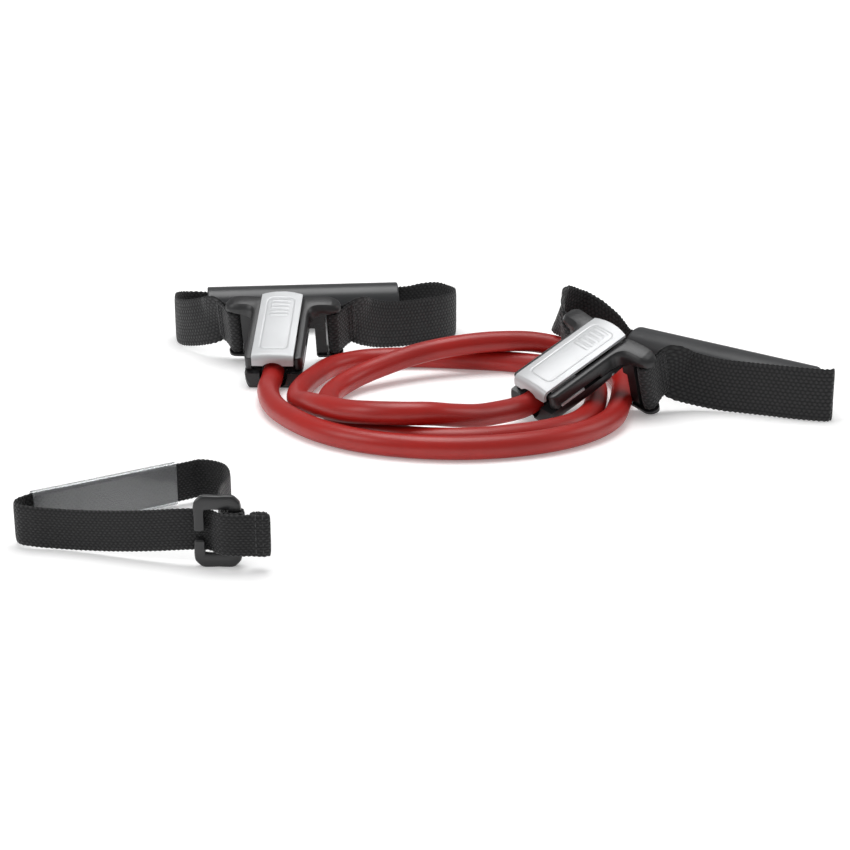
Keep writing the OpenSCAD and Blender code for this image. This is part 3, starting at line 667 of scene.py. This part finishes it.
corner_up = (0.25, -0.25, 0.93)
run_a = [row(p) for p in ((-137, 152, 22), (-148.5, 163, 18), (-156.5, 174, 15.8),
                          (-161, 186, 15.3), (-161.5, 198, 15.3))] \
    + [row((-157.5, 207, 16.2), 26), row((-151, 211, 17), 22)] \
    + in_grip((-81, 219, 17), 7) + [row((-11, 227.5, 17), 22), row((-3, 228, 16.8), 26)] \
    + [row(p) for p in ((7, 226, 16), (15, 220, 15.2), (19.5, 211, 15.2), (19.5, 202, 15.2),
                        (15, 193, 15.2), (7, 185, 15.2), (-4, 177, 15.3), (-17, 168, 16),
                        (-28, 159, 18), (-36, 150, 21.5))]
run_b = [row((81.5, 90, 38)), row((82, 103, 38.4))] \
    + [row(p, STRAP_W, corner_up) for p in ((82, 114, 38), (83, 122, 37), (87, 128, 35))] \
    + [row((94, 130.5, 31.5)), row((102, 129, 27.5)), row((110, 125, 22.5), 29),
       row((116, 121.5, 18.5), 26), row((121, 118, 15.8), 22.5)] \
    + in_grip((171.6, 65.6, 14.5), -47) \
    + [row((219.3, 14.3, 14.5), 22), row((222, 10.6, 14.7), 26), row((223, 8, 15), 29)] \
    + [row(p) for p in ((221.5, 5.8, 15.2), (218, 5.6, 15.2), (212, 7.2, 15.2), (203, 10.3, 15.2),
                        (190, 16, 15.2), (178, 21, 15.2), (166, 25, 15.6), (155, 27.8, 17.2),
                        (145, 28.5, 19.8))]
loops = {"a": (run_a, 43, 45), "b": (run_b, 63, -5)}
hand_webbing = webbing_of("hand_webbing", 0.0027, 0.0021)
for side, (run, out_left, out_right) in loops.items():
    rows = bar_fold(side, 1, out_left) + run + bar_fold(side, -1, out_right)[::-1]
    strap = webbing_band(f"hand_loop_{side}", rows, STRAP_T, RIB, 0.5, hand_webbing)
    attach(strap, "root")
    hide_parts(f"handle_strap_{side}")

# ---- stitching on the hand loops ----
# Two rows of lockstitch in bonded thread hold each fold closed beside its bar.
thread = finish_of("bonded_thread", (0.03, 0.03, 0.032), (0.045, 0.045, 0.047), 0.5, 0.6, tooth=0.3)


def stitch_rings(start, end, lift, radius):
    """Rings of one stitch: it comes out of the webbing, lies along it, and goes back in."""
    share = np.array([0, 0.08, 0.3, 0.7, 0.92, 1])
    rise = np.array([-1.2, 0.1, 1, 1, 0.1, -1.2])[:, None] * radius
    line = start + (end - start) * share[:, None] + lift * rise
    way = unit(end - start)
    side = np.cross(way, lift)
    turn = np.linspace(0, 2 * math.pi, 6, endpoint=False)[None, :, None]
    return line[:, None] + radius * (np.cos(turn) * side + np.sin(turn) * lift)


def stitches(name, runs):
    """Many stitches as one piece; each is its start, its end and the way it stands up, in metres."""
    parts = [skin("stitch", stitch_rings(*(np.asarray(v, float) for v in one), 0.00028), thread)
             for one in runs]
    piece = join(name, parts)
    return piece


for side, (run, out_left, out_right) in loops.items():
    runs = []
    for hand, angle in ((1, out_left), (-1, out_right)):
        middle, away, out = (np.array(v, float) for v in fold_axes(hand, angle))
        for x in (11.5, 14):
            for z in range(-12, 12, 3):
                for face in (1, -1):
                    spot = middle + x * away + face * (LAYER + STRAP_T / 2 + 0.02) * out
                    ends = seats[side]([spot + [0, 0, z + 0.3], spot + [0, 0, z + 2.7]])
                    lift = unit(seats[side](spot + face * out) - seats[side](spot))
                    runs.append((*ends, lift))
    sewn = stitches(f"loop_stitches_{side}", runs)
    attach(sewn, "root")
    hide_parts(f"strap_stitching_{side}")

# ---- grips ----
# A smooth dark tube of semi-gloss plastic turns freely on the gathered webbing of each loop.
grip_plastic = finish_of("grip_plastic", (0.028, 0.029, 0.031), (0.035, 0.036, 0.038), 0.3, 0.4,
                         grain_size=0.0006, tooth=0.05, dust=0.05, IOR=1.5)
GRIP_L, GRIP_R, GRIP_BORE = 126, 13.25, 11.5


def grip_rings(middle, yaw):
    """A tube turned round its length: its wall's outline, round at both mouths, carried round."""
    half, wall = GRIP_L / 2, GRIP_R - GRIP_BORE
    lip = np.radians(np.linspace(-90, 90, 9))
    mid_r = (GRIP_R + GRIP_BORE) / 2
    end_x = half - wall / 2 + wall / 2 * np.cos(lip)
    end_r = mid_r + wall / 2 * np.sin(lip)
    body = np.linspace(half - wall, -half + wall, 24)
    x = np.concatenate([end_x, body, -end_x[::-1], -body])
    r = np.concatenate([end_r, 0 * body + GRIP_R, end_r[::-1], 0 * body + GRIP_BORE])
    turn = np.linspace(0, 2 * math.pi, 96, endpoint=False)[:, None]
    way = np.array([math.cos(math.radians(yaw)), math.sin(math.radians(yaw)), 0])
    left = np.array([-way[1], way[0], 0])
    return (np.array(middle) + x[None, :, None] * way + (r * np.cos(turn))[..., None] * left
            + (r * np.sin(turn))[..., None] * np.array([0, 0, 1]))


for side, middle, yaw in (("a", (-81, 219, 17), 7), ("b", (171.6, 65.6, 14.5), -47)):
    grip = skin(f"grip_{side}", metres(grip_rings(middle, yaw)), grip_plastic, loop=True)
    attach(grip, f"grip_{side}")
    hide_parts(f"grip_tube_{side}")

# ---- anchor strap ----
# Narrower webbing of the same make, sewn round one leg of the buckle, run through the clear
# sleeve and back through the buckle's window to a tail that is folded over and sewn.
ANCHOR_W, ANCHOR_T = 19, 1.5
leg_mid = np.array([-81, -207, 16])
leg_away = unit(np.array([-0.4, 0.917, 0]))
leg_out = np.array([leg_away[1], -leg_away[0], 0])
sleeve_way = np.array([math.cos(math.radians(35.6)), math.sin(math.radians(35.6)), 0])
sleeve_mid = np.array([-146.5, -151.3, 11.3])
leg_fold = fold_points(leg_mid, leg_away, leg_out, 14, 3.8, ANCHOR_T / 2 + 0.12)
anchor_run = [
    [-90, -184, 15.5], [-91.5, -172, 13.6], [-91.5, -160, 12.2], [-90.5, -148, 11.5],
    [-91.5, -137, 11.3], [-95, -129, 11.3], [-101, -124.3, 11.3],
    *(sleeve_mid + k * sleeve_way for k in (48.5, 42.5, 17.75, -17.75, -36.5)),
    sleeve_mid - 39 * sleeve_way - [0, 0, 0.3],
    [-180.3, -177, 11], [-181, -180.5, 10.8], [-178.8, -184, 10.6], [-173, -186.3, 10.4],
    [-162, -188, 10], [-148, -191.5, 10.5], [-132, -196.5, 12], [-116, -201, 14],
    [-104, -203.8, 15.6], [-97, -204.5, 16], [-93.6, -204.8, 16], [-91, -206.4, 16],
    [-88.6, -209, 16], [-86, -211.5, 16], [-82, -212.6, 16], [-74, -212.6, 16],
    [-66.8, -212.6, 16], [-65.9, -211.75, 16], [-66.8, -210.9, 16], [-73, -210.9, 16],
    [-73.9, -210.05, 16], [-73, -209.2, 16], [-67, -209.2, 16]]
anchor_webbing = webbing_of("anchor_webbing", 0.0022, 0.0012)
anchor = webbing_band("anchor_band", [row(p, ANCHOR_W) for p in [*leg_fold, *anchor_run]],
                      ANCHOR_T, 2.2, 0.3, anchor_webbing)
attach(anchor, "anchor")
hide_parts("anchor_strap")

runs = []
for x in (-71.5, -68.5):
    for z in range(8, 24, 3):
        runs += [(metres([x, -213.42, z]), metres([x, -213.42, z + 2.4]), [0, -1, 0]),
                 (metres([x, -208.38, z]), metres([x, -208.38, z + 2.4]), [0, 1, 0])]
for x in (10.8, 13):
    for z in range(8, 24, 3):
        for face in (1, -1):
            spot = leg_mid + x * leg_away + face * 1.64 * leg_out
            spot[2] = z
            runs.append((metres(spot), metres(spot + [0, 0, 2.4]), face * leg_out))
sewn = stitches("anchor_stitches", runs)
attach(sewn, "anchor")
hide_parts("anchor_stitching")

# ---- hook buckle ----
# A flat buckle stamped from steel and painted satin black, with chamfered corners. One leg is
# parted, so that a loop of webbing can be slipped in.
buckle_black = finish_of("buckle_black", (0.011, 0.011, 0.012), (0.016, 0.016, 0.017), 0.28, 0.4,
                         tooth=0.1, dust=0.1, IOR=1.5, Coat_Weight=0.3, Coat_Roughness=0.25)
# Outer x and height, inner x and height, from the upper lip over the top to the lower lip
buckle_rows = np.array([
    [-10, -0.3, -5.5, -0.3], [-10, 5, -5.5, 5], [-10, 12.2, -5.5, 8.6], [-9.75, 13.1, -5.4, 9.4],
    [-7.2, 15.7, -5.0, 9.8], [-6.4, 16, -4.0, 9.9], [0, 16, 0, 9.9], [6.4, 16, 3.6, 9.9],
    [7.2, 15.7, 4.6, 9.8], [9.75, 13.1, 4.9, 9.4], [10, 12.2, 5, 8.6], [10, 0, 5, 0],
    [10, -12.2, 5, -8.6], [9.75, -13.1, 4.9, -9.4], [7.2, -15.7, 4.6, -9.8],
    [6.4, -16, 3.6, -9.9], [0, -16, 0, -9.9], [-6.4, -16, -4.0, -9.9],
    [-7.2, -15.7, -5.0, -9.8], [-9.75, -13.1, -5.4, -9.4], [-10, -12.2, -5.5, -8.6],
    [-10, -5, -5.5, -5], [-10, -3.3, -5.5, -3.3]])
mid = (buckle_rows[:, :2] + buckle_rows[:, 2:]) / 2
bar = flow(np.column_stack([mid, 0 * mid[:, 0], buckle_rows]), 0.4)
from_end = np.minimum(np.arange(len(bar)), np.arange(len(bar))[::-1]) * 0.4
small = np.sqrt(1 - (1 - np.clip(from_end / 1.2, 0.03, 1)) ** 2)[:, None]
outer, inner = bar[:, 3:5], bar[:, 5:7]
centre = (outer + inner) / 2
outer, inner = centre + (outer - centre) * small, centre + (inner - centre) * small
rings = bar_between(outer, inner, 1.5 * small[:, 0], -1.5 * small[:, 0], 0.6, 0.45, 0.5)
buckle_mid = np.array([-88.5, -207, 16])
buckle = skin("hook_buckle", metres(np.stack(
    [rings[..., 0], -rings[..., 2], rings[..., 1]], -1) + buckle_mid), buckle_black)
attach(buckle, "anchor")
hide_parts("anchor_buckle")

# ---- clear sleeve ----
# A length of flattened clear vinyl tube over the webbing, which grips a post and saves its paint.
vinyl = bpy.data.materials.new("clear_vinyl")
vinyl.use_nodes = True
tree = vinyl.node_tree
tree.nodes.clear()
marks = put(tree, "ShaderNodeGroup", {"node_tree": handled})
haze = remap(tree, marks.outputs["Cloud"], 0.3, 0.7, 0.08, 0.2)
ripple = put(tree, "ShaderNodeBump", Strength=0.25, Distance=0.0008, Height=marks.outputs["Cloud"])
shader = put(tree, "ShaderNodeBsdfPrincipled", Base_Color=(0.93, 0.95, 0.96, 1), Roughness=haze,
             Normal=ripple.outputs[0], IOR=1.5, Transmission_Weight=0.88)
put(tree, "ShaderNodeOutputMaterial", Surface=shader.outputs[0])
nodes["anchor_sleeve"].material_slots[0].material = vinyl

# ---- floor and light ----
# A seamless white floor that glows with painted light, more strongly far from the middle, so that it
# stays white far off, under a wide soft ceiling light, with weaker fill from both sides.
bpy.ops.mesh.primitive_plane_add(size=40)
floor = bpy.context.object
floor.name = "floor"
paper = bpy.data.materials.new("paper_white")
paper.use_nodes = True
tree = paper.node_tree
tree.nodes.clear()
distance = put(tree, "ShaderNodeVectorMath", {"operation": "LENGTH"},
               _0=put(tree, "ShaderNodeTexCoord").outputs["Object"]).outputs["Value"]
# Painted light: the floor glows, faintly near the middle and more strongly far off, where the lamps fall
# off.
shader = put(tree, "ShaderNodeBsdfPrincipled", Base_Color=(0.9, 0.9, 0.9, 1), Roughness=0.7,
             Emission_Color=(1, 1, 1, 1),
             Emission_Strength=remap(tree, distance, 0.35, 1.6, 0.22, 0.9))
put(tree, "ShaderNodeOutputMaterial", Surface=shader.outputs[0])
floor.data.materials.append(paper)

world = bpy.data.worlds.new("studio")
scene.world = world
world.use_nodes = True
world.node_tree.nodes["Background"].inputs["Color"].default_value = (1, 1, 1, 1)
world.node_tree.nodes["Background"].inputs["Strength"].default_value = 0.3
scene.view_settings.view_transform = "Standard"


def soft_light(name, place, aim, size, power):
    """A square soft light at place, turned to aim."""
    data = bpy.data.lights.new(name, "AREA")
    data.size = size
    data.energy = power
    light = bpy.data.objects.new(name, data)
    light.location = place
    away = np.array(place, float) - np.array(aim, float)
    light.rotation_euler = (math.acos(away[2] / np.linalg.norm(away)), 0,
                            math.atan2(away[1], away[0]) + math.pi / 2)
    scene.collection.objects.link(light)


soft_light("ceiling", (-0.1, 0.25, 1.5), (0, 0, 0), 1.1, 18)
soft_light("left_fill", (-1.3, -0.5, 0.9), (0, 0, 0), 0.7, 6)
soft_light("right_fill", (1.4, 0.3, 0.8), (0, 0, 0), 0.7, 4)
